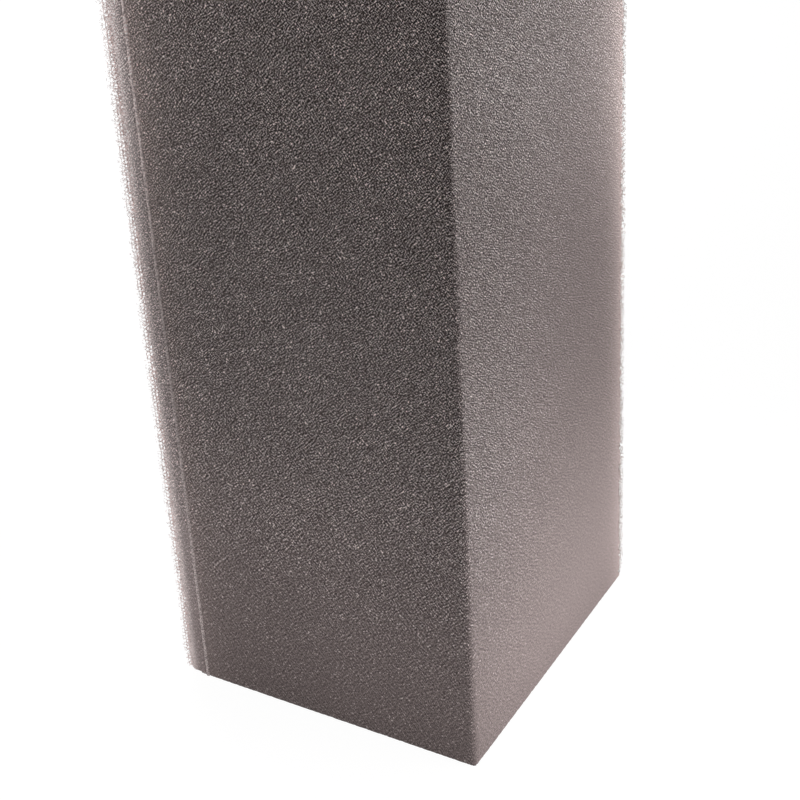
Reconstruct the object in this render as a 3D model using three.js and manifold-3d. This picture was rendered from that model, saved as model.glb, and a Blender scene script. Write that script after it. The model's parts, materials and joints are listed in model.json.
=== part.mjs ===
// Corner bass trap: a tall prism of open-cell acoustic foam that fills the angle between two walls.
// Millimetres, +Z up. The origin lies on the floor, under the middle of the square that the two legs span.
// The right-angle edge, which goes into the room corner, stands at +X and -Y. Wall face A looks along -Y,
// wall face B looks along +X, and the front slopes between the two thin tips.
// The tip of face A is a separate foam strip, bonded to the core along a seam that leans slightly.

import * as THREE from 'three';
import { mergeVertices } from 'three/addons/utils/BufferGeometryUtils.js';
import Module from 'manifold-3d';

// The whole trap
const legWidth = 300;
const trapHeight = 1000;
const tipThickness = 6;

// Edges as the knife leaves them
const cornerEdgeRadius = 6;
const tipEdgeRadius = 1.5;
const arcSteps = 4;

// The bonded strip, its width on wall face A and how far its outer face turns back from that wall
const stripFootWidth = 26;
const stripTopWidth = 29.5;
const stripTurn = THREE.MathUtils.degToRad(9);

// The dried glue between strip and core
const glueThickness = 1.6;
const glueEndInset = 0.5;
const glueFrontInset = 0.5;
const bondClearance = 0.3;

// How far a cutting block runs past what it cuts
const cutOverrun = 20;

const halfLeg = legWidth / 2;
const seamLean = Math.atan2(stripFootWidth - stripTopWidth, trapHeight);
const halfSlot = glueThickness / 2 + bondClearance;

const wasm = await Module();
wasm.setup();

// An outline with a round at each corner. Corners run anticlockwise and none is hollow.
function roundedShape(corners) {
  const shape = new THREE.Shape();
  corners.forEach(({ at, radius }, index) => {
    const toBefore = corners.at(index - 1).at.clone().sub(at).normalize();
    const toAfter = corners[(index + 1) % corners.length].at.clone().sub(at).normalize();
    const halfAngle = Math.acos(toBefore.dot(toAfter)) / 2;
    const tangentReach = radius / Math.tan(halfAngle);
    const centre = toBefore.clone().add(toAfter).setLength(radius / Math.sin(halfAngle)).add(at);
    const start = toBefore.setLength(tangentReach).add(at).sub(centre);
    const end = toAfter.setLength(tangentReach).add(at).sub(centre);
    shape.absarc(centre.x, centre.y, radius, start.angle(), end.angle(), false);
  });
  shape.closePath();
  return shape;
}

function corner(x, y, radius) {
  return { at: new THREE.Vector2(x, y), radius };
}

function upright(shape, foot, top) {
  const geometry = new THREE.ExtrudeGeometry(shape, {
    depth: top - foot,
    bevelEnabled: false,
    curveSegments: arcSteps,
  });
  return geometry.translate(0, 0, foot);
}

function solidOf(geometry) {
  const bare = geometry.clone();
  bare.deleteAttribute('normal');
  bare.deleteAttribute('uv');
  const merged = mergeVertices(bare);
  return new wasm.Manifold(new wasm.Mesh({
    numProp: 3,
    vertProperties: new Float32Array(merged.attributes.position.array),
    triVerts: new Uint32Array(merged.index.array),
  }));
}

// A cutting block between two corners, given in the frame of the seam or of the strip's outer face
function cutter(low, high, frame) {
  const size = high.clone().sub(low);
  const geometry = new THREE.BoxGeometry(size.x, size.y, size.z);
  const middle = low.clone().add(high).divideScalar(2);
  geometry.translate(middle.x, middle.y, middle.z);
  return solidOf(geometry.applyMatrix4(frame));
}

function meshOf(solid, name, material) {
  const { vertProperties, triVerts, numProp } = solid.getMesh();
  const geometry = new THREE.BufferGeometry();
  geometry.setAttribute('position', new THREE.Float32BufferAttribute(vertProperties, numProp));
  geometry.setIndex(Array.from(triVerts));
  geometry.computeVertexNormals();
  const mesh = new THREE.Mesh(geometry, material);
  mesh.name = name;
  return mesh;
}

// The seam's frame: its origin is where the seam meets wall face A at the floor, and its Z climbs the seam.
function seamFrame() {
  const frame = new THREE.Matrix4().makeTranslation(stripFootWidth - halfLeg, -halfLeg, 0);
  return frame.multiply(new THREE.Matrix4().makeRotationY(-seamLean));
}

// The frame of the strip's outer face, which is the seam's turned about the seam line
function stripFaceFrame() {
  return seamFrame().multiply(new THREE.Matrix4().makeRotationZ(-stripTurn));
}

// The prism that core and strip are cut from. Each tip keeps a narrow flat, so that it isn't a feather edge.
function wholeBlock() {
  const outline = roundedShape([
    corner(-halfLeg, -halfLeg, tipEdgeRadius),
    corner(halfLeg, -halfLeg, cornerEdgeRadius),
    corner(halfLeg, halfLeg, tipEdgeRadius),
    corner(halfLeg - tipThickness, halfLeg, tipEdgeRadius),
    corner(-halfLeg, tipThickness - halfLeg, tipEdgeRadius),
  ]);
  return solidOf(upright(outline, 0, trapHeight));
}

// Everything on the strip's side of a plane that runs along the seam, at an offset from its middle
function stripSide(offset) {
  const low = new THREE.Vector3(-legWidth, -cutOverrun, -cutOverrun);
  const high = new THREE.Vector3(offset, legWidth, trapHeight + cutOverrun);
  return cutter(low, high, seamFrame());
}

// What the turned-back outer face takes off the strip
function turnedAway() {
  const low = new THREE.Vector3(-legWidth, -cutOverrun, -cutOverrun);
  const high = new THREE.Vector3(cutOverrun, 0, trapHeight + cutOverrun);
  return cutter(low, high, stripFaceFrame());
}

// The glue line: a thin slab with a round nose that shows at wall face A. It stops short of the front,
// the foot and the top, where the foam closes over it.
function glueSlab(block) {
  const halfGlue = glueThickness / 2;
  const slab = new THREE.Shape();
  slab.absarc(0, halfGlue, halfGlue, Math.PI, 2 * Math.PI, false);
  slab.lineTo(halfGlue, legWidth);
  slab.lineTo(-halfGlue, legWidth);
  slab.closePath();
  const standing = upright(slab, glueEndInset, trapHeight - glueEndInset);
  const behindFront = block.translate([glueFrontInset, -glueFrontInset, 0]);
  return solidOf(standing.applyMatrix4(seamFrame())).intersect(behindFront);
}

const foam = new THREE.MeshStandardMaterial({ color: 0x6b6462, roughness: 0.95, metalness: 0 });
const stripFoam = new THREE.MeshStandardMaterial({ color: 0x746d6a, roughness: 0.95, metalness: 0 });
const driedGlue = new THREE.MeshStandardMaterial({ color: 0x948d88, roughness: 0.6, metalness: 0 });

const block = wholeBlock();
const core = block.subtract(stripSide(halfSlot));
const strip = block.intersect(stripSide(-halfSlot)).subtract(turnedAway());

const bassTrap = new THREE.Group();
bassTrap.add(meshOf(core, 'foam_core', foam));
bassTrap.add(meshOf(strip, 'edge_strip', stripFoam));
bassTrap.add(meshOf(glueSlab(block), 'glue_line', driedGlue));

export default bassTrap;
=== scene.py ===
# %% [markdown]
# # A corner bass trap
# The real thing is a block of open-cell foam, about a metre tall, that stands in the corner of a room and
# soaks up low notes. It has no skin or cover: what shows is a field of tiny cut cells. The CAD model
# gives the size and the place of each piece, and this lesson gives the foam its cells, its thin tips that
# let light through, its glue line and its colours. First the imported CAD model is loaded.

import itertools
import json
import math

import bmesh
import bpy
import numpy as np
from mathutils import Matrix, Vector

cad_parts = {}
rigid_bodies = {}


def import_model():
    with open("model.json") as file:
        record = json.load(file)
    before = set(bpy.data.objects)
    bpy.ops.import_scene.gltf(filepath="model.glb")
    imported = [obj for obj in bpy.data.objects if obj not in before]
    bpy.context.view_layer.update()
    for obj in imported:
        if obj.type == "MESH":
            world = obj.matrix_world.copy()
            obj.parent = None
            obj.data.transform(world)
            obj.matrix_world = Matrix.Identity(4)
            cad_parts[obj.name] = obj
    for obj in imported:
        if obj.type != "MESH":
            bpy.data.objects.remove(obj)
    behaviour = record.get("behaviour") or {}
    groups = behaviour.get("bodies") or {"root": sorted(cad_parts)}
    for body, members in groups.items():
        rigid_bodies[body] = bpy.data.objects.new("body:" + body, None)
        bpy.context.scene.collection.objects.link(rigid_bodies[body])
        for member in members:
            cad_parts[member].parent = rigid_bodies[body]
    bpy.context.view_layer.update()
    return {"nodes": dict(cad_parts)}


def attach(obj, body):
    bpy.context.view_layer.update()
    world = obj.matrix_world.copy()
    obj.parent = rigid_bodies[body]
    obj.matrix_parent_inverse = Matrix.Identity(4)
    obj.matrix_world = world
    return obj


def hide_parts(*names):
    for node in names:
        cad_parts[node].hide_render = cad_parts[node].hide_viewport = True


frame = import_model()
MM = 0.001
print("nodes:", sorted(frame["nodes"]))

# %% [markdown]
# ## The camera
# The camera stands a little over a metre up, turned towards the right-angle edge, and looks down at it.
# Its place was worked out from the edges of the object, so the numbers below are a yaw, a pitch and a
# small roll. A camera could also be aimed with a Track To constraint, but that can't roll, so the three
# axes are written straight into the camera's matrix.

# %% Camera
camera_place = Vector((0.8003, -1.3071, 1.2281))
yaw, pitch, roll = (math.radians(angle) for angle in (-31.29, 32.73, 3.50))
focal_pixels = 2096
image_pixels = 800
sensor_width = 36

forward = Vector((math.sin(yaw) * math.cos(pitch), math.cos(yaw) * math.cos(pitch), -math.sin(pitch)))
level_right = Vector((math.cos(yaw), -math.sin(yaw), 0))
level_down = forward.cross(level_right)
image_right = math.cos(roll) * level_right + math.sin(roll) * level_down
image_down = -math.sin(roll) * level_right + math.cos(roll) * level_down

camera_data = bpy.data.cameras.new("camera")
camera_data.sensor_width = sensor_width
camera_data.lens = focal_pixels * sensor_width / image_pixels
camera = bpy.data.objects.new("camera", camera_data)
axes = Matrix((image_right, -image_down, -forward)).transposed()
camera.matrix_world = Matrix.Translation(camera_place) @ axes.to_4x4()
bpy.context.scene.collection.objects.link(camera)
bpy.context.scene.camera = camera
print("lens:", round(camera_data.lens, 1), "mm")

# %% [markdown]
# ## A small language for node trees
# Materials and Geometry Nodes are both trees of nodes, and wiring them by hand makes long lists. Here one
# class wraps an output socket, so that ordinary Python arithmetic adds the Math nodes, and one method
# makes any other node from its type, its settings and the values or links of its sockets. Both kinds of
# tree use the same two classes.

# %% Link
class Link:
    """An output socket that takes part in arithmetic, through Vector Math nodes if it is a vector."""

    def __init__(self, graph, socket):
        self.graph = graph
        self.socket = socket

    def also(self, name):
        """Another output of the same node."""
        outputs = self.socket.node.outputs
        return Link(self.graph, next(s for s in outputs if s.enabled and s.name == name))

    def math(self, operation, first, second):
        if self.socket.type == "VECTOR":
            kind = "ShaderNodeVectorMath"
            first, second = ((x,) * 3 if isinstance(x, (int, float)) else x for x in (first, second))
        else:
            kind = "ShaderNodeMath"
        return self.graph.node(kind, {"operation": operation}, {0: first, 1: second})

    def __add__(self, other):
        return self.math("ADD", self, other)

    def __sub__(self, other):
        return self.math("SUBTRACT", self, other)

    def __mul__(self, other):
        return self.math("MULTIPLY", self, other)

    def __truediv__(self, other):
        return self.math("DIVIDE", self, other)

    def __radd__(self, other):
        return self.math("ADD", other, self)

    def __rsub__(self, other):
        return self.math("SUBTRACT", other, self)

    def __rmul__(self, other):
        return self.math("MULTIPLY", other, self)

    def __rtruediv__(self, other):
        return self.math("DIVIDE", other, self)


print("arithmetic on sockets is ready")


# %% Graph
class Graph:
    """A node tree that is being built."""

    def __init__(self, tree):
        self.tree = tree

    def node(self, kind, settings=None, sockets=None):
        """Adds a node, and returns its first output. Sockets are named, or numbered among those in use."""
        node = self.tree.nodes.new(kind)
        for name, value in (settings or {}).items():
            setattr(node, name, value)
        for key, value in (sockets or {}).items():
            used = [s for s in node.inputs if s.enabled]
            socket = used[key] if isinstance(key, int) else next(s for s in used if s.name == key)
            if isinstance(value, Link):
                self.tree.links.new(value.socket, socket)
            else:
                socket.default_value = value
        outputs = [s for s in node.outputs if s.enabled]
        return Link(self, outputs[0]) if outputs else None

    def smooth_step(self, value, low, high):
        """0 below low, 1 above high, and smooth between them."""
        smooth = {"interpolation_type": "SMOOTHSTEP"}
        values = {"Value": value, "From Min": low, "From Max": high}
        return self.node("ShaderNodeMapRange", smooth, values)

    def mix(self, factor, first, second, blend="MIX"):
        """One colour over another."""
        settings = {"data_type": "RGBA", "blend_type": blend}
        return self.node("ShaderNodeMix", settings, {"Factor": factor, "A": first, "B": second})

    def grey(self, level):
        """A colour whose three parts are one number."""
        return self.node("ShaderNodeCombineColor", {}, {"Red": level, "Green": level, "Blue": level})

    def fall_off(self, distance, reach):
        """1 where the distance is 0, and about a third after each reach."""
        return self.number("EXPONENT", distance * (-1 / reach))

    def number(self, operation, *values):
        """A Math node by its operation's name."""
        return self.node("ShaderNodeMath", {"operation": operation}, dict(enumerate(values)))

    def vector(self, operation, first, second):
        """A Vector Math node by its operation's name."""
        return self.node("ShaderNodeVectorMath", {"operation": operation}, {0: first, 1: second})

    def scaled(self, vector, factor):
        """A vector made longer or shorter."""
        return self.node("ShaderNodeVectorMath", {"operation": "SCALE"}, {0: vector, "Scale": factor})

    def beyond_plane(self, place, point, outward):
        """How far a place lies outside a plane."""
        return self.vector("DOT_PRODUCT", place - point, outward).also("Value")


print("node trees can be built")


# %% Cleared graph
def cleared_graph(owner):
    """The graph of a material or world, without the nodes that come with it."""
    owner.use_nodes = True
    owner.node_tree.nodes.clear()
    return Graph(owner.node_tree)


print("materials and worlds can start empty")

# %% [markdown]
# ## From a tree to a piece
# A Geometry Nodes tree acts through a modifier. Its inputs are set on the modifier by their identifiers,
# since names may repeat. The result is then taken off as a plain mesh, because instances and live
# modifiers don't survive an export. The piece itself stays at the origin, with its place in its mesh.


# %% Geometry tree
def geometry_tree(name, inputs):
    """A Geometry Nodes tree with these inputs: its graph, its entry node and its inputs as links."""
    tree = bpy.data.node_groups.new(name, "GeometryNodeTree")
    interface = tree.interface
    interface.new_socket("Geometry", in_out="OUTPUT", socket_type="NodeSocketGeometry")
    interface.new_socket("Geometry", in_out="INPUT", socket_type="NodeSocketGeometry")
    for label, kind in inputs.items():
        interface.new_socket(label, in_out="INPUT", socket_type="NodeSocket" + kind)
    graph = Graph(tree)
    entry = graph.node("NodeGroupInput")
    links = {label: entry.also(label) for label in inputs}
    return graph, entry, links


def finished(graph, geometry, material):
    """Ends a tree in real geometry that wears a material."""
    real = graph.node("GeometryNodeRealizeInstances", sockets={0: geometry})
    dressed = graph.node("GeometryNodeSetMaterial", sockets={"Geometry": real, "Material": material})
    graph.node("NodeGroupOutput", sockets={0: dressed})
    return graph.tree


print("Geometry Nodes trees can be built")


# %% Piece from a tree
def with_tree(name, source, tree, values, before=()):
    """A plain mesh piece: a source mesh run through a tree, whose inputs are set by their identifiers."""
    carrier = bpy.data.objects.new(name + "_source", source)
    bpy.context.scene.collection.objects.link(carrier)
    for kind, settings in before:
        modifier = carrier.modifiers.new(kind, kind)
        for key, value in settings.items():
            setattr(modifier, key, value)
    modifier = carrier.modifiers.new("nodes", "NODES")
    modifier.node_group = tree
    for item in tree.interface.items_tree:
        if item.in_out == "INPUT" and item.name in values:
            modifier[item.identifier] = values[item.name]
    bpy.context.view_layer.update()
    depsgraph = bpy.context.evaluated_depsgraph_get()
    mesh = bpy.data.meshes.new_from_object(carrier.evaluated_get(depsgraph))
    bpy.data.objects.remove(carrier)
    mesh.name = name
    piece = bpy.data.objects.new(name, mesh)
    bpy.context.scene.collection.objects.link(piece)
    triangles = sum(len(face.vertices) - 2 for face in mesh.polygons)
    print(name, "has", triangles, "triangles")
    return piece


print("trees can become pieces")

# %% [markdown]
# ## The grain of cut foam
# Cut open-cell foam is a web of thin struts round dark hollow cells. From a metre away each cell is a
# speck, a few struts catch the light as bright points, and the block as a whole reads as a warm charcoal
# grey. A picture texture would stretch at the corners, so the pattern is solid: it is worked out in the
# object's own coordinates, and runs through the block as the real cells do.
#
# A fine noise gives the grain. Cells are packed evenly, so a light spot has dark neighbours: the mean of
# the noise one step away is taken off, and no broad blotches stay. The steps lie in the face, along X on
# the broad wall face and along Y on the side one.

# %% Even grain
CELL = 2.2 * MM
GRAIN = 0.7 * MM
GRAIN_TURN = (0.5, 0.7, 0.4)
SIDE_STRETCH = 1.2


def grain_noise(graph, spot):
    """One layer of fine noise, turned out of line with the faces."""
    turned = graph.node("ShaderNodeMapping", {}, {"Vector": spot, "Rotation": GRAIN_TURN})
    return graph.node("ShaderNodeTexNoise", {}, {"Vector": turned, "Scale": 1 / GRAIN, "Detail": 0.0})


def even_grain(graph, place, step, on_side):
    """The noise less its mean one step away to the left, right, top and bottom."""
    across = {"X": step * (1 - on_side), "Y": SIDE_STRETCH * step * on_side}
    sideways = graph.node("ShaderNodeCombineXYZ", {}, across)
    upwards = graph.node("ShaderNodeCombineXYZ", {}, {"Z": step})
    near = [graph.vector(way, place, shift) for way in ("ADD", "SUBTRACT") for shift in (sideways, upwards)]
    return grain_noise(graph, place) - sum(grain_noise(graph, spot) for spot in near) / len(near)


print("grain:", GRAIN / MM, "mm, cells:", CELL / MM, "mm")

# %% [markdown]
# ## Light and dark cells
# The light and dark of the cells is painted in the colour: painted shade in the hollow cells and painted
# light on the struts. Bright and dark differ by ratios in foam, so the relief goes through an exponential,
# and half the square of its spread is taken off so that the mean stays put. Random small cells become the
# bright points, painted glints, and the web of the larger cells adds some relief. The grain is strongest
# high up. It gets weaker towards the foot, and on the side face towards its far edge.

# %% Cells in light and shade
half_leg = 0.150
EVEN_GRAIN_HEIGHT = 0.4
SIDE_FROM, SIDE_TO = half_leg - 3 * MM, half_leg - 0.5 * MM
STEP, STEP_GAIN_AT_FOOT = 1.4 * MM, 1.0 * MM
STRUT_MIDDLE, STRUT_SIDE = 0.02, 0.30
WEB_LEVEL, WEB_MEAN, GRAIN_LEVEL = 0.05, 0.4, 0.9
FOOT_COARSENESS, COARSENESS_GAIN = 0.33, 0.85
SIDE_CALM, SIDE_CALM_GAIN, SIDE_CALM_LOSS = 0.24, 0.44, 0.4
CALMER_FROM, CALMER_TO = -0.14, 0.10
SPREAD_SHARE = 0.09
SPECK = 1.1 * MM
SPECK_FROM, SPECK_FULL = 0.982, 0.988
PAINTED_GLINT_LIGHT, MOST_LIGHT = 7, 10.0


def foam_cells(graph, place, along, thinness, contrast):
    """The relief of the cells, and their painted light and shade against the foam's middle tone."""
    upper = graph.smooth_step(along.also("Z"), 0.0, EVEN_GRAIN_HEIGHT)
    on_side = graph.smooth_step(along, SIDE_FROM, SIDE_TO)
    to_far_edge = graph.smooth_step(along.also("Y"), CALMER_FROM, CALMER_TO)
    calm = on_side * (SIDE_CALM + SIDE_CALM_GAIN * to_far_edge) * (1 - SIDE_CALM_LOSS * thinness)
    coarseness = (FOOT_COARSENESS + COARSENESS_GAIN * upper) * (1 - calm)

    cells = {"Vector": place, "Scale": 1 / CELL}
    edges = graph.node("ShaderNodeTexVoronoi", {"feature": "DISTANCE_TO_EDGE"}, cells)
    web = 1 - graph.smooth_step(edges, STRUT_MIDDLE, STRUT_SIDE)
    grain = GRAIN_LEVEL * even_grain(graph, place, STEP + STEP_GAIN_AT_FOOT * (1 - upper), on_side)
    relief = coarseness * (WEB_LEVEL * (web - WEB_MEAN) + grain)
    spread = (SPREAD_SHARE * contrast) * coarseness
    # the exponential paints the shade of the hollow cells and the light on the struts
    light = graph.number("EXPONENT", contrast * relief - 0.5 * spread * spread)

    # random small cells become painted glints: bright points that stand for light caught by struts
    small_cells = {"Vector": place, "Scale": 1 / SPECK}
    drawn = graph.node("ShaderNodeTexVoronoi", {}, small_cells).also("Color")
    number = graph.node("ShaderNodeSeparateColor", {}, {0: drawn})
    painted_glint = graph.smooth_step(number, SPECK_FROM, SPECK_FULL)
    light = graph.number("MINIMUM", light + PAINTED_GLINT_LIGHT * coarseness * (1 - calm) * painted_glint, MOST_LIGHT)
    return relief, light


print("specks:", SPECK / MM, "mm")

# %% [markdown]
# ## Light through the thin tips
# Near the two thin tips light comes through from behind, so foam looks lighter there: a band along the
# strip's tip, and a tail that fades inwards from both. A translucent shader would do this by itself, but
# only before a bright background, and it can't be baked. So it is part of the colour. The strip's tip
# thins out towards the top, and its light reaches further in there.

# %% Light through the tips
THINNER_FROM, THINNER_TO = 0.35, 0.62
TIP_STANDS_OUT, TIP_LEAN, TIP_THINNING = 3 * MM, 3.5 * MM, 3.5 * MM
BAND_LIGHT, BAND_START, BAND_END = 0.72, 6 * MM, 21 * MM
LEFT_LIGHT, LEFT_GAIN, LEFT_THIN_GAIN = 0.50, 0.29, 0.6
LEFT_GAIN_FROM, LEFT_GAIN_TO, LEFT_REACH = 0.05, 0.22, 18 * MM
RIGHT_LIGHT, RIGHT_GAIN, RIGHT_THIN_LOSS = 0.22, 0.25, 0.1
RIGHT_GAIN_FROM, RIGHT_GAIN_TO, RIGHT_REACH = 0.1, 0.3, 12 * MM
RIGHT_REACH_GAIN = 1.3


def tip_distances(along, thinness):
    """How far a place lies inside the strip's tip, which leans, and inside the core's tip."""
    leaning = TIP_LEAN * along.also("Z")
    from_left = along + half_leg + TIP_STANDS_OUT - leaning - TIP_THINNING * thinness
    from_right = half_leg - along.also("Y")
    return from_left, from_right


def light_through(graph, from_left, from_right, height, thinness):
    """How much of the colour is light from behind."""
    band = BAND_LIGHT * (1 - graph.smooth_step(from_left, BAND_START, BAND_END))
    left_rise = LEFT_GAIN * graph.smooth_step(height, LEFT_GAIN_FROM, LEFT_GAIN_TO)
    left_level = LEFT_LIGHT + left_rise + LEFT_THIN_GAIN * thinness
    left_tail = left_level * graph.fall_off(from_left, LEFT_REACH)
    right_rise = RIGHT_GAIN * graph.smooth_step(height, RIGHT_GAIN_FROM, RIGHT_GAIN_TO)
    right_level = RIGHT_LIGHT + right_rise - RIGHT_THIN_LOSS * thinness
    right_tail = right_level * graph.fall_off(from_right / (1 + RIGHT_REACH_GAIN * thinness), RIGHT_REACH)
    return band + left_tail + right_tail


print("light reaches in:", LEFT_REACH / MM, "and", RIGHT_REACH / MM, "mm")

# %% [markdown]
# ## The finish of the foam
# The middle tone is multiplied by the painted light and shade of the cells, whose bright points, painted
# glints, are a little less warm than the rest, and mixed with the painted light from behind. A very broad
# noise keeps the block from looking printed. Bright points are smoother than the foam round them. The
# outermost struts, which have a finish of their own, are partly see-through, and their lighter tone is
# painted light from behind.

# %% Foam material
RED_POWER, GLOW_POWER = 0.95, 0.3
BROAD_PER_METRE, BROAD_LOW, BROAD_GAIN = 9.0, 0.90, 0.20
DULL, SHINE_GAIN, SHINY_FROM, SHINY_TO = 0.92, 0.45, 2.5, 5.0
GLOSS, BUMP, BUMP_HEIGHT = 0.25, 0.5, 0.4 * MM


def foam_material(name, tone, contrast, glow, clear_reach=0, least_cover=1):
    """Cut foam: painted shade in pits, painted light on struts and glints, lighter towards the thin tips.
    """
    material = bpy.data.materials.new(name)
    graph = cleared_graph(material)
    place = graph.node("ShaderNodeTexCoord").also("Object")
    along = graph.node("ShaderNodeSeparateXYZ", {}, {0: place})
    height = along.also("Z")
    thinness = graph.smooth_step(height, THINNER_FROM, THINNER_TO)
    relief, light = foam_cells(graph, place, along, thinness, contrast)
    from_left, from_right = tip_distances(along, thinness)
    through = light_through(graph, from_left, from_right, height, thinness)

    red_light = graph.number("POWER", light, RED_POWER)
    shade = graph.node("ShaderNodeCombineColor", {}, {"Red": red_light, "Green": light, "Blue": light})
    foam = graph.mix(1.0, tone, shade, blend="MULTIPLY")
    soft_light = graph.grey(graph.number("POWER", light, GLOW_POWER))
    glowing = graph.mix(through, foam, graph.mix(1.0, glow, soft_light, blend="MULTIPLY"))
    broad_noise = {"Vector": place, "Scale": BROAD_PER_METRE, "Detail": 2.0}
    broad = graph.node("ShaderNodeTexNoise", {}, broad_noise)
    colour = graph.mix(1.0, glowing, graph.grey(BROAD_LOW + BROAD_GAIN * broad), blend="MULTIPLY")

    shining = graph.smooth_step(light, SHINY_FROM, SHINY_TO)
    bump = {"Strength": BUMP, "Distance": BUMP_HEIGHT, "Height": relief}
    values = {
        "Base Color": colour,
        "Roughness": DULL - SHINE_GAIN * shining,
        "Specular IOR Level": GLOSS,
        "Normal": graph.node("ShaderNodeBump", {}, bump),
    }
    if clear_reach:
        nearest = graph.number("MINIMUM", from_left, from_right)
        inside = graph.smooth_step(nearest, 0.0, clear_reach)
        values["Alpha"] = least_cover + (1 - least_cover) * inside
    shader = graph.node("ShaderNodeBsdfPrincipled", {}, values)
    graph.node("ShaderNodeOutputMaterial", {}, {"Surface": shader})
    return material


print("bumps:", BUMP_HEIGHT / MM, "mm")

# %% Foam finishes
core_finish = foam_material(
    "core_foam_finish", tone=(0.136, 0.108, 0.105, 1), contrast=12.0, glow=(0.94, 0.755, 0.715, 1)
)
# The strip's middle tone is a little lighter than the core's: painted light, for the light the strip
# catches from the left.
strip_finish = foam_material(
    "strip_foam_finish", tone=(0.164, 0.126, 0.124, 1), contrast=11.0, glow=(1.00, 0.86, 0.845, 1)
)
# The tips' middle tone is about twice the core's: painted light that comes through the thin open foam from
# behind.
core_tip_finish = foam_material(
    "core_tip_finish",
    tone=(0.276, 0.224, 0.218, 1),
    contrast=5.0,
    glow=(0.95, 0.745, 0.665, 1),
    clear_reach=7 * MM,
    least_cover=0.7,
)
strip_tip_finish = foam_material(
    "strip_tip_finish",
    tone=(0.278, 0.224, 0.224, 1),
    contrast=5.0,
    glow=(1.00, 0.83, 0.80, 1),
    clear_reach=10 * MM,
    least_cover=0.45,
)
print("finishes:", [m.name for m in (core_finish, strip_finish, core_tip_finish, strip_tip_finish)])

# %% [markdown]
# ## Cut faces of foam
# The two foam pieces start from the CAD solids, so their size and place are right. A few flat triangles
# can't hold cells, so a voxel remesh covers each piece with an even mesh finer than a cell, and it
# softens the edges as foam does by itself. A Geometry Nodes tree then presses the middle of each cell in,
# and tears the cut at the thin tip into an uneven line that blends into the lattice there. Displacement
# in the material would press the cells in too, but then they would be missing from the mesh itself.

# %% Foam surface tree
graph, entry, sizes = geometry_tree(
    "cut_foam_surface",
    {
        "Cell Size": "Float",
        "Pit Depth": "Float",
        "Tip Point": "Vector",
        "Tip Outward": "Vector",
        "Tip Raggedness": "Float",
        "Seed": "Float",
        "Material": "Material",
    },
)
place = graph.node("GeometryNodeInputPosition")
outward = graph.node("GeometryNodeInputNormal")
cells = {"Vector": place, "Scale": 1 / sizes["Cell Size"]}
edges = graph.node("ShaderNodeTexVoronoi", {"feature": "DISTANCE_TO_EDGE"}, cells)
press = graph.scaled(outward, -1 * (graph.smooth_step(edges, 0.04, 0.34) * sizes["Pit Depth"]))
waves = {"Vector": place, "W": sizes["Seed"], "Scale": 0.7 / sizes["Cell Size"], "Detail": 1.0}
billow = graph.node("ShaderNodeTexNoise", {"noise_dimensions": "4D"}, waves)
inward = -1 * graph.beyond_plane(place, sizes["Tip Point"], sizes["Tip Outward"])
at_tip = 1 - graph.smooth_step(inward, 0.0, 1.6 * sizes["Tip Raggedness"])
teeth = graph.smooth_step(billow, 0.35, 0.65)
tear = graph.scaled(sizes["Tip Outward"], -1 * (at_tip * teeth * sizes["Tip Raggedness"]))
offset = graph.vector("ADD", press, tear)
moved = graph.node("GeometryNodeSetPosition", {}, {"Geometry": entry, "Offset": offset})
foam_surface = finished(graph, moved, sizes["Material"])
print("tree:", foam_surface.name)

# %% [markdown]
# ## The two foam pieces
# Each CAD solid is copied, and its loose triangles are merged. A few millimetres of its thin tip are cut
# off, where the lattice takes over. At the strip that cut leans, because the tip turns to lattice further
# in towards the top. The remesh and the surface tree are then run as two modifiers, one after the other.


# %% Copy and cut
def merged_copy(node):
    """The CAD node's mesh with its loose triangles merged, as a bmesh."""
    mesh = bmesh.new()
    mesh.from_mesh(frame["nodes"][node].data)
    bmesh.ops.remove_doubles(mesh, verts=mesh.verts, dist=0.01 * MM)
    return mesh


def cut_back(mesh, point, normal):
    """Takes off what lies on the normal's side of a plane, and closes the cut."""
    geometry = mesh.verts[:] + mesh.edges[:] + mesh.faces[:]
    cut = bmesh.ops.bisect_plane(mesh, geom=geometry, plane_co=point, plane_no=normal, clear_outer=True)
    rim = [item for item in cut["geom_cut"] if isinstance(item, bmesh.types.BMEdge)]
    bmesh.ops.holes_fill(mesh, edges=rim, sides=0)


print("CAD solids can be copied and cut")

# %% Foam pieces
VOXEL = 1.6 * MM
PIT_DEPTH = 0.4 * MM
TIP_RAGGEDNESS = 5 * MM
CORE_TIP_ZONE = 4 * MM
STRIP_TIP_ZONE = 4 * MM
STRIP_TIP_GROWTH = 0.009


def foam_piece(name, node, cut_point, cut_normal, finish, seed):
    """A foam solid with its tip cut off, an even mesh and its cells pressed in."""
    mesh = merged_copy(node)
    cut_back(mesh, cut_point, cut_normal)
    source = bpy.data.meshes.new(name)
    mesh.to_mesh(source)
    mesh.free()
    remesh = ("REMESH", {"mode": "VOXEL", "voxel_size": VOXEL, "use_smooth_shade": True})
    values = {
        "Cell Size": CELL,
        "Pit Depth": PIT_DEPTH,
        "Tip Point": cut_point,
        "Tip Outward": cut_normal,
        "Tip Raggedness": TIP_RAGGEDNESS,
        "Seed": seed,
        "Material": finish,
    }
    return with_tree(name, source, foam_surface, values, before=[remesh])


core_cut = ((0, half_leg - CORE_TIP_ZONE, 0), (0, 1, 0))
strip_cut = ((-half_leg + STRIP_TIP_ZONE, 0, 0), Vector((-1, 0, STRIP_TIP_GROWTH)).normalized())
core = foam_piece("core_block", "foam_core", *core_cut, core_finish, 1.0)
strip = foam_piece("strip_block", "edge_strip", *strip_cut, strip_finish, 2.0)
print("pits:", PIT_DEPTH / MM, "mm deep")

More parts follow.
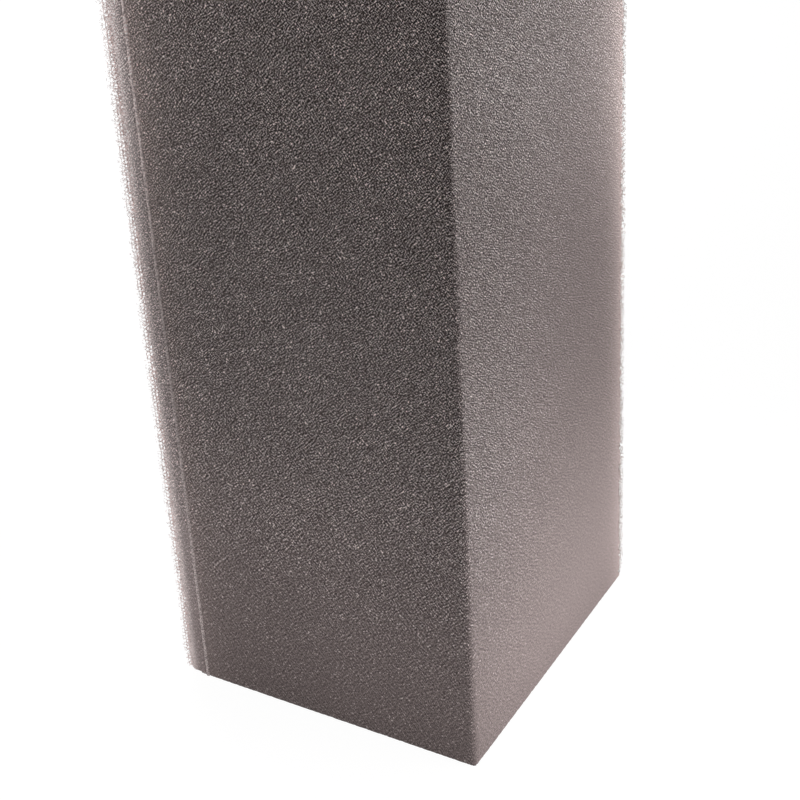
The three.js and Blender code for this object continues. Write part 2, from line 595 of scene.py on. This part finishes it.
# %% [markdown]
# ## Open cells at the thin tips
# Where the wedge runs thin, the foam stops hiding what is behind it: light passes between the struts, and
# the edge fades instead of ending. A see-through material could fake that, but the mesh would still be a
# solid lip. Here the last few millimetres are a real lattice. Foam cells are close to a packing of
# fourteen-sided cells, whose edges form one pattern that repeats in all three directions. One block of it
# is the source mesh. The tree repeats it, bends it with noise so that no two cells match, drops what lies
# outside the wedge, thins it towards the edge and turns each remaining line into a three-sided strut.


# %% One block of cell edges
def cell_edges():
    """The edges of packed fourteen-sided cells in one cube of side 1, each edge once."""

    def is_joint(spot):
        odd = [c for c in spot if c % 2]
        return len(odd) == 1 and sorted(c % 4 for c in spot if not c % 2) == [0, 2]

    steps = [s for s in itertools.product((-1, 0, 1), repeat=3) if s.count(0) == 1 and s > (0, 0, 0)]
    spots, edges = [], []
    for spot in itertools.product(range(4), repeat=3):
        for step in steps:
            end = tuple(a + b for a, b in zip(spot, step))
            if is_joint(spot) and is_joint(end):
                edges.append((len(spots), len(spots) + 1))
                spots += [Vector(spot) / 4, Vector(end) / 4]
    mesh = bpy.data.meshes.new("cell_edges")
    mesh.from_pydata(spots, edges, [])
    return mesh


one_block = cell_edges()
print("edges in one block:", len(one_block.edges))

# %% Open cell inputs
FACES = 7
plane_inputs = {}
for number in range(1, FACES + 1):
    plane_inputs[f"Face {number} Point"] = "Vector"
    plane_inputs[f"Face {number} Outward"] = "Vector"
graph, entry, sizes = geometry_tree(
    "open_cells",
    {
        "Block Size": "Float",
        "Columns": "Int",
        "Rows": "Int",
        "Layers": "Int",
        "Corner": "Vector",
        "Unevenness": "Float",
        "Strut Radius": "Float",
        "Inner Thinning": "Float",
        "Edge Thinning": "Float",
        "Thinning Reach": "Float",
        "Seed": "Int",
        "Material": "Material",
        **plane_inputs,
    },
)
print("inputs:", len(sizes))

# %% Rows and layers of blocks
index = graph.node("GeometryNodeInputIndex")
per_layer = sizes["Columns"] * sizes["Rows"]
column = graph.number("MODULO", index, sizes["Columns"])
row = graph.number("MODULO", graph.number("FLOOR", index / sizes["Columns"]), sizes["Rows"])
layer = graph.number("FLOOR", index / per_layer)
steps = graph.node("ShaderNodeCombineXYZ", {}, {"X": column, "Y": row, "Z": layer})
spot = graph.vector("ADD", sizes["Corner"], graph.scaled(steps, sizes["Block Size"]))
points = graph.node("GeometryNodePoints", {}, {"Count": per_layer * sizes["Layers"], "Position": spot})
blocks = graph.node(
    "GeometryNodeInstanceOnPoints", {}, {"Points": points, "Instance": entry, "Scale": sizes["Block Size"]}
)
lines = graph.node("GeometryNodeRealizeInstances", {}, {0: blocks})
place = graph.node("GeometryNodeInputPosition")
bend = graph.node(
    "ShaderNodeTexNoise", {}, {"Vector": place, "Scale": 0.8 / sizes["Block Size"], "Detail": 1.0}
).also("Color")
bent = graph.scaled(graph.vector("SUBTRACT", bend, (0.5, 0.5, 0.5)), sizes["Unevenness"])
lines = graph.node("GeometryNodeSetPosition", {}, {"Geometry": lines, "Offset": bent})
print("nodes so far:", len(graph.tree.nodes))

# %% Trimmed, thinned and thickened
outside = graph.beyond_plane(place, sizes["Face 1 Point"], sizes["Face 1 Outward"])
for number in range(2, FACES + 1):
    beyond = graph.beyond_plane(place, sizes[f"Face {number} Point"], sizes[f"Face {number} Outward"])
    outside = graph.number("MAXIMUM", outside, beyond)
trimmed = graph.node(
    "GeometryNodeDeleteGeometry",
    {"domain": "POINT"},
    {"Geometry": lines, "Selection": graph.number("GREATER_THAN", outside, 0.0)},
)
depth = -1 * graph.beyond_plane(place, sizes["Face 1 Point"], sizes["Face 1 Outward"])
at_edge = 1 - graph.smooth_step(depth, 0.0, sizes["Thinning Reach"])
share = sizes["Inner Thinning"] + at_edge * (sizes["Edge Thinning"] - sizes["Inner Thinning"])
dropped = graph.node(
    "FunctionNodeRandomValue", {"data_type": "BOOLEAN"}, {"Probability": share, "Seed": sizes["Seed"]}
)
thinned = graph.node(
    "GeometryNodeDeleteGeometry", {"domain": "EDGE"}, {"Geometry": trimmed, "Selection": dropped}
)
strands = graph.node("GeometryNodeMeshToCurve", {}, {"Mesh": thinned})
three_sided = {"Resolution": 3, "Radius": sizes["Strut Radius"]}
section = graph.node("GeometryNodeCurvePrimitiveCircle", {}, three_sided)
struts = graph.node(
    "GeometryNodeCurveToMesh", {}, {"Curve": strands, "Profile Curve": section, "Fill Caps": True}
)
open_cells = finished(graph, struts, sizes["Material"])
print("tree:", open_cells.name)

# %% [markdown]
# ## The wedges that the lattices fill
# Each lattice fills a wedge between flat faces: the wall face, the sloping front, the foot and the top, an
# inner plane that overlaps the block, and an outer one where the last struts end. One more plane takes off
# the lowest corner, which foam loses first in handling. The strip's wall face and the seam come from the
# same few sizes as in the CAD model.

# %% The faces of the trap
trap_height = 1.0
strip_foot_width, strip_top_width = 26 * MM, 29.5 * MM
strip_turn = math.radians(9)
seam_lean = math.atan2(strip_foot_width - strip_top_width, trap_height)
seam_foot = Vector((strip_foot_width - half_leg, -half_leg, 0))
strip_face = Matrix.Rotation(-seam_lean, 3, "Y") @ Matrix.Rotation(-strip_turn, 3, "Z") @ Vector((0, -1, 0))
tip_flat = 6 * MM
front = (Vector((half_leg - tip_flat, half_leg, 0)), Vector((-1, 1, 0)).normalized())
foot_and_top = ((0, 0, 0), (0, 0, -1)), ((0, 0, trap_height), (0, 0, 1))
print("the seam leans by", round(math.degrees(seam_lean), 2), "degrees")

# %% Lattice between planes
BLOCK = 3.6 * MM
UNEVENNESS, STRUT_RADIUS, THINNING_REACH = 3.2 * MM, 0.21 * MM, 8 * MM
OVERLAP = 5 * MM
CORE_FUZZ, STRIP_FUZZ = 2.2 * MM, TIP_STANDS_OUT
layers = math.ceil(trap_height / BLOCK) + 1


def open_tip(name, planes, corner, columns, rows, thinning, finish, seed):
    """A lattice between planes. Thinning is the share of struts left out, inside and at the edge."""
    values = {
        "Block Size": BLOCK,
        "Columns": columns,
        "Rows": rows,
        "Layers": layers,
        "Corner": corner,
        "Unevenness": UNEVENNESS,
        "Strut Radius": STRUT_RADIUS,
        "Inner Thinning": thinning[0],
        "Edge Thinning": thinning[1],
        "Thinning Reach": THINNING_REACH,
        "Seed": seed,
        "Material": finish,
    }
    for number, (point, outward) in enumerate(planes, start=1):
        values[f"Face {number} Point"] = point
        values[f"Face {number} Outward"] = outward
    return with_tree(name, one_block.copy(), open_cells, values)


print("layers of blocks:", layers)

# %% Core tip
worn_height, worn_width = 13 * MM, 6.5 * MM
core_worn_off = 3.8 * MM
core_wear = Vector((0, worn_height, -worn_width)).normalized()
core_wear_point = Vector((0, half_leg, 0)) - core_worn_off * core_wear
core_tip = open_tip(
    "core_tip_cells",
    [
        ((0, half_leg + CORE_FUZZ, 0), (0, 1, 0)),
        ((half_leg, 0, 0), (1, 0, 0)),
        front,
        ((0, half_leg - CORE_TIP_ZONE - OVERLAP, 0), (0, -1, 0)),
        (core_wear_point, core_wear),
        *foot_and_top,
    ],
    corner=(half_leg - 19 * MM, half_leg - 11 * MM, -1 * MM),
    columns=7,
    rows=5,
    thinning=(0.4, 0.5),
    finish=core_tip_finish,
    seed=3,
)
print("the core's corner loses", round(core_worn_off / MM, 1), "mm")

# %% Strip tip
strip_worn_off = 1.5 * MM
strip_wear = Vector((-1, 0, -1)).normalized()
strip_wear_point = Vector((-half_leg, 0, 0)) - strip_worn_off * strip_wear
strip_tip = open_tip(
    "strip_tip_cells",
    [
        ((-half_leg - STRIP_FUZZ, 0, 0), Vector((-1, 0, 0.004)).normalized()),
        (seam_foot, strip_face),
        front,
        ((-half_leg + STRIP_TIP_ZONE + OVERLAP, 0, 0), Vector((1, 0, -STRIP_TIP_GROWTH)).normalized()),
        *foot_and_top,
        (strip_wear_point, strip_wear),
    ],
    corner=(-half_leg - 4 * MM, -half_leg - 1 * MM, -1 * MM),
    columns=6,
    rows=7,
    thinning=(0.25, 0.65),
    finish=strip_tip_finish,
    seed=4,
)
print("the strip's corner loses", round(strip_worn_off / MM, 1), "mm")

# %% [markdown]
# ## The glue line
# The strip is bonded to the block with contact adhesive. Dried, it leaves a thin light line that stands a
# little proud of the foam and is nowhere quite even. Its section, a film with a round bead at the wall
# side, is swept along the seam, and noise swells and thins the bead on its way up.

# %% Glue line tree
graph, entry, sizes = geometry_tree(
    "glue_line",
    {
        "Foot": "Vector",
        "Top": "Vector",
        "Spacing": "Float",
        "Lumpiness": "Float",
        "Lump Size": "Float",
        "Widening": "Float",
        "Material": "Material",
    },
)
path = graph.node("GeometryNodeCurvePrimitiveLine", {}, {"Start": sizes["Foot"], "End": sizes["Top"]})
every = {"Curve": path, "Length": sizes["Spacing"]}
path = graph.node("GeometryNodeResampleCurve", {"mode": "LENGTH"}, every)
facing_wall = {"Curve": path, "Normal": (0.0, 1.0, 0.0)}
path = graph.node("GeometryNodeSetCurveNormal", {"mode": "FREE"}, facing_wall)
section = graph.node("GeometryNodeMeshToCurve", {}, {"Mesh": entry})
sweep = {"Curve": path, "Profile Curve": section, "Fill Caps": True}
swept = graph.node("GeometryNodeCurveToMesh", {}, sweep)
place = graph.node("GeometryNodeInputPosition")
lump_noise = {"Vector": place, "Scale": 1 / sizes["Lump Size"], "Detail": 2.0}
lumps = graph.node("ShaderNodeTexNoise", {}, lump_noise)
depth = -1 * graph.beyond_plane(place, sizes["Foot"], (0.0, -1.0, 0.0))
near_wall = 1 - graph.smooth_step(depth, 0.5 * MM, 2 * MM)
outward = graph.node("GeometryNodeInputNormal")
swelling = graph.scaled(outward, near_wall * (lumps - 0.45) * sizes["Lumpiness"])
height = graph.node("ShaderNodeSeparateXYZ", {}, {0: place}).also("Z")
deeper = (1 - near_wall) * height * sizes["Widening"]
widened = graph.node("ShaderNodeCombineXYZ", {}, {"Y": deeper})
offset = graph.vector("ADD", swelling, widened)
swollen = graph.node("GeometryNodeSetPosition", {}, {"Geometry": swept, "Offset": offset})
glue_tree = finished(graph, swollen, sizes["Material"])
print("tree:", glue_tree.name)

# %% [markdown]
# ## The finish of dried glue
# Dried contact adhesive is pale and slightly glossy, with foam dust and broken struts stuck to it. A fine
# noise mixes the pale film with the colour of the dust. High up, where the strip lets more light through,
# the line looks brighter.

# %% Dried glue
glue_finish = bpy.data.materials.new("dried_glue_finish")
graph = cleared_graph(glue_finish)
place = graph.node("ShaderNodeTexCoord").also("Object")
turned = graph.node("ShaderNodeMapping", {}, {"Vector": place, "Rotation": GRAIN_TURN})
cloud = graph.node("ShaderNodeTexNoise", {}, {"Vector": turned, "Scale": 900.0, "Detail": 1.0})
dusty_glue = (0.19, 0.155, 0.151, 1)
bare_glue = (0.73, 0.62, 0.605, 1)
tone = graph.mix(graph.smooth_step(cloud, 0.35, 0.65), dusty_glue, bare_glue)
height = graph.node("ShaderNodeSeparateXYZ", {}, {0: place}).also("Z")
brighter = 1 + 0.90 * graph.smooth_step(height, THINNER_FROM, THINNER_TO)
tone = graph.mix(1.0, tone, graph.grey(brighter), blend="MULTIPLY")
bump = graph.node("ShaderNodeBump", {}, {"Strength": 0.5, "Distance": 0.3 * MM, "Height": cloud})
shader = graph.node(
    "ShaderNodeBsdfPrincipled", {}, {"Base Color": tone, "Roughness": 0.45 + 0.4 * cloud, "Normal": bump}
)
graph.node("ShaderNodeOutputMaterial", {}, {"Surface": shader})
print("finish:", glue_finish.name)

# %% Glue bead
film_half, film_depth = 0.8 * MM, 31 * MM
bead_radius, bead_centre = 1.8 * MM, 1.3 * MM
arc = [math.radians(angle) for angle in range(-130, 131, 26)]
section_points = [(bead_centre - bead_radius * math.cos(a), bead_radius * math.sin(a), 0) for a in arc]
section_points += [(film_depth, film_half, 0), (film_depth, -film_half, 0)]
count = len(section_points)
section_mesh = bpy.data.meshes.new("glue_section")
section_mesh.from_pydata(section_points, [(i, (i + 1) % count) for i in range(count)], [])
seam_top = Vector((strip_top_width - half_leg, -half_leg, trap_height))
end_inset = 0.5 * MM
values = {
    "Foot": seam_foot.lerp(seam_top, end_inset),
    "Top": seam_foot.lerp(seam_top, 1 - end_inset),
    "Spacing": 2 * MM,
    "Lumpiness": 1.4 * MM,
    "Lump Size": 6 * MM,
    "Widening": (strip_top_width - strip_foot_width) / trap_height,
    "Material": glue_finish,
}
glue = with_tree("glue_bead", section_mesh, glue_tree, values)
print("the bead stands", round((bead_radius - bead_centre) / MM, 1), "mm proud")

# %% [markdown]
# ## Floor, light and background
# The block stands on a plain pale floor before a white background. Both are seen as white but light the
# block only mildly: the Light Path node tells a ray from the camera from any other. The floor keeps a
# trace of the shadow. Soft rectangular lamps do the rest. Low ones brighten the foot, as a pale floor
# would, the others set the dark left face against the lighter right one, and one behind lights the
# sloping front. The lamps can't be seen themselves.

# %% Background
def seen_share(graph):
    """1 for a ray from the camera, or one that gloss or a clear surface has passed on."""
    ray = graph.node("ShaderNodeLightPath")
    seen = graph.number("MAXIMUM", ray, ray.also("Is Glossy Ray"))
    return graph.number("MAXIMUM", seen, ray.also("Is Transmission Ray"))


world = bpy.data.worlds.new("world")
bpy.context.scene.world = world
graph = cleared_graph(world)
ambient = graph.node("ShaderNodeBackground", {}, {"Color": (1, 1, 1, 1), "Strength": 0.24})
backdrop = graph.node("ShaderNodeBackground", {}, {"Color": (1, 1, 1, 1), "Strength": 1.0})
sky = graph.node("ShaderNodeMixShader", {}, {0: seen_share(graph), 1: ambient, 2: backdrop})
graph.node("ShaderNodeOutputWorld", {}, {"Surface": sky})
print("background:", world.name)

# %% Floor
floor_size = 12.0
floor_mesh = bpy.data.meshes.new("floor")
reach = floor_size / 2
floor_mesh.from_pydata(
    [(-reach, -reach, 0), (reach, -reach, 0), (reach, reach, 0), (-reach, reach, 0)], [], [(0, 1, 2, 3)]
)
floor = bpy.data.objects.new("floor", floor_mesh)
bpy.context.scene.collection.objects.link(floor)
floor_finish = bpy.data.materials.new("floor_finish")
graph = cleared_graph(floor_finish)
matt = graph.node("ShaderNodeBsdfDiffuse", {}, {"Color": (0.85, 0.85, 0.85, 1)})
white = graph.node("ShaderNodeEmission", {}, {"Color": (1, 1, 1, 1), "Strength": 1.1})
paper = graph.node("ShaderNodeMixShader", {}, {0: seen_share(graph) * 0.85, 1: matt, 2: white})
graph.node("ShaderNodeOutputMaterial", {}, {"Surface": paper})
floor_mesh.materials.append(floor_finish)
print("floor:", floor_size, "m wide")


# %% Lamps
def soft_lamp(name, place, target, width, height, power):
    """A rectangular area lamp that faces its target."""
    data = bpy.data.lights.new(name, "AREA")
    data.shape = "RECTANGLE"
    data.size = width
    data.size_y = height
    data.energy = power
    lamp = bpy.data.objects.new(name, data)
    lamp.location = place
    lamp.rotation_euler = (Vector(target) - Vector(place)).to_track_quat("-Z", "Y").to_euler()
    lamp.visible_camera = False
    bpy.context.scene.collection.objects.link(lamp)


soft_lamp("low_right_lamp", (0.41, 0.05, 0.05), (0.15, 0.00, 0.02), 0.5, 0.1, 1.70)
soft_lamp("low_front_lamp", (0.00, -0.40, 0.10), (0.00, -0.15, 0.00), 0.5, 0.1, 0.26)
soft_lamp("high_right_lamp", (1.04, 0.20, 0.79), (0.15, 0.12, 0.90), 0.4, 0.4, 1.10)
soft_lamp("high_left_lamp", (-0.53, -0.42, 1.03), (-0.15, -0.15, 0.41), 0.5, 0.5, 1.83)
soft_lamp("near_right_lamp", (0.32, 0.36, 0.50), (0.15, 0.15, 0.63), 0.3, 0.3, 1.50)
soft_lamp("back_lamp", (-1.30, 1.30, 0.90), (0.00, 0.00, 0.45), 1.2, 1.2, 14.0)
bpy.context.scene.view_settings.view_transform = "Standard"
print("lamps:", sorted(lamp.name for lamp in bpy.data.lights))

# %% [markdown]
# ## Joining the look to the model
# Nothing on the trap moves, so every piece rides on its one body. The two blocks and the glue take the
# place of the CAD solids, and the lattices stand beside them. The foam fills its closed CAD solid but isn't
# closed itself. Baked colour needs a flat layout of each piece. Here every face goes to the nearest of a
# few planes and is laid out from there, side by side at one scale, and the struts and the glue are simply
# seen from a slant.

# %% Sheets
def gathered(items, attribute, width, kind):
    """One attribute of many mesh items as an array, a row for each."""
    values = np.empty(len(items) * width, dtype=kind)
    items.foreach_get(attribute, values)
    return values.reshape(-1, width)


def is_level(outward):
    """Whether a face looks up or down."""
    return abs(outward[2]) > 0.9


def sheet_axes(outward):
    """The two directions of a sheet that is looked at from outside."""
    upwards = Vector((0, 1, 0)) if is_level(outward) else Vector((0, 0, 1))
    across = outward.cross(upwards).normalized()
    return across, across.cross(outward)


print("sheets can be laid flat")


# %% Bake layout
def bake_layout(piece, planes):
    """A UV map in which each face lies flat with the others of its nearest plane."""
    mesh = piece.data
    corners = gathered(mesh.loops, "vertex_index", 1, np.int32)[:, 0]
    face_sizes = gathered(mesh.polygons, "loop_total", 1, np.int32)[:, 0]
    centres = gathered(mesh.polygons, "center", 3, float)
    spots = gathered(mesh.vertices, "co", 3, float)[corners]
    away = [np.abs((centres - np.array(point)) @ np.array(outward)) for point, outward in planes]
    owner = np.repeat(np.argmin(away, axis=0), face_sizes)
    layout = np.zeros((len(spots), 2))
    starts = [gap_width, gap_width]
    for number, (_, outward) in enumerate(planes):
        row = int(is_level(outward))
        flat = spots[owner == number] @ np.array(sheet_axes(Vector(outward))).T
        flat -= flat.min(axis=0)
        width = flat[:, 0].max()
        flat += (starts[row], row * (trap_height + 2 * gap_width) + gap_width)
        starts[row] += width + 2 * gap_width
        layout[owner == number] = flat
    layout /= layout.max() + gap_width
    layer = mesh.uv_layers.new(name="OFBake")
    layer.data.foreach_set("uv", layout.ravel())
    print(piece.name, "is laid out on", len(planes), "planes")


gap_width = 4 * MM
print("sheets lie", 2 * gap_width / MM, "mm apart")

# %% Layouts for baked colour
seam_outward = Matrix.Rotation(-seam_lean, 3, "Y") @ Vector((-1, 0, 0))
upright_walls = [((0, -half_leg, 0), (0, -1, 0)), ((half_leg, 0, 0), (1, 0, 0))]
bake_layout(core, [*upright_walls, front, (seam_foot, seam_outward), core_cut, *foot_and_top])
bake_layout(strip, [(seam_foot, strip_face), front, (seam_foot, -seam_outward), strip_cut, *foot_and_top])
slant = Vector((0.55, -0.60, 0.45)).normalized()
for piece in (core_tip, strip_tip, glue):
    bake_layout(piece, [((0, 0, 0), slant)])

# %% Riding
for piece, slot in (
    (core, "core_foam"),
    (core_tip, "core_foam"),
    (strip, "strip_foam"),
    (strip_tip, "strip_foam"),
    (glue, "dried_glue"),
):
    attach(piece, "root")
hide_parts("foam_core")
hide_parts("edge_strip")
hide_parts("glue_line")
print("pieces on the body:", [piece.name for piece in (core, core_tip, strip, strip_tip, glue)])
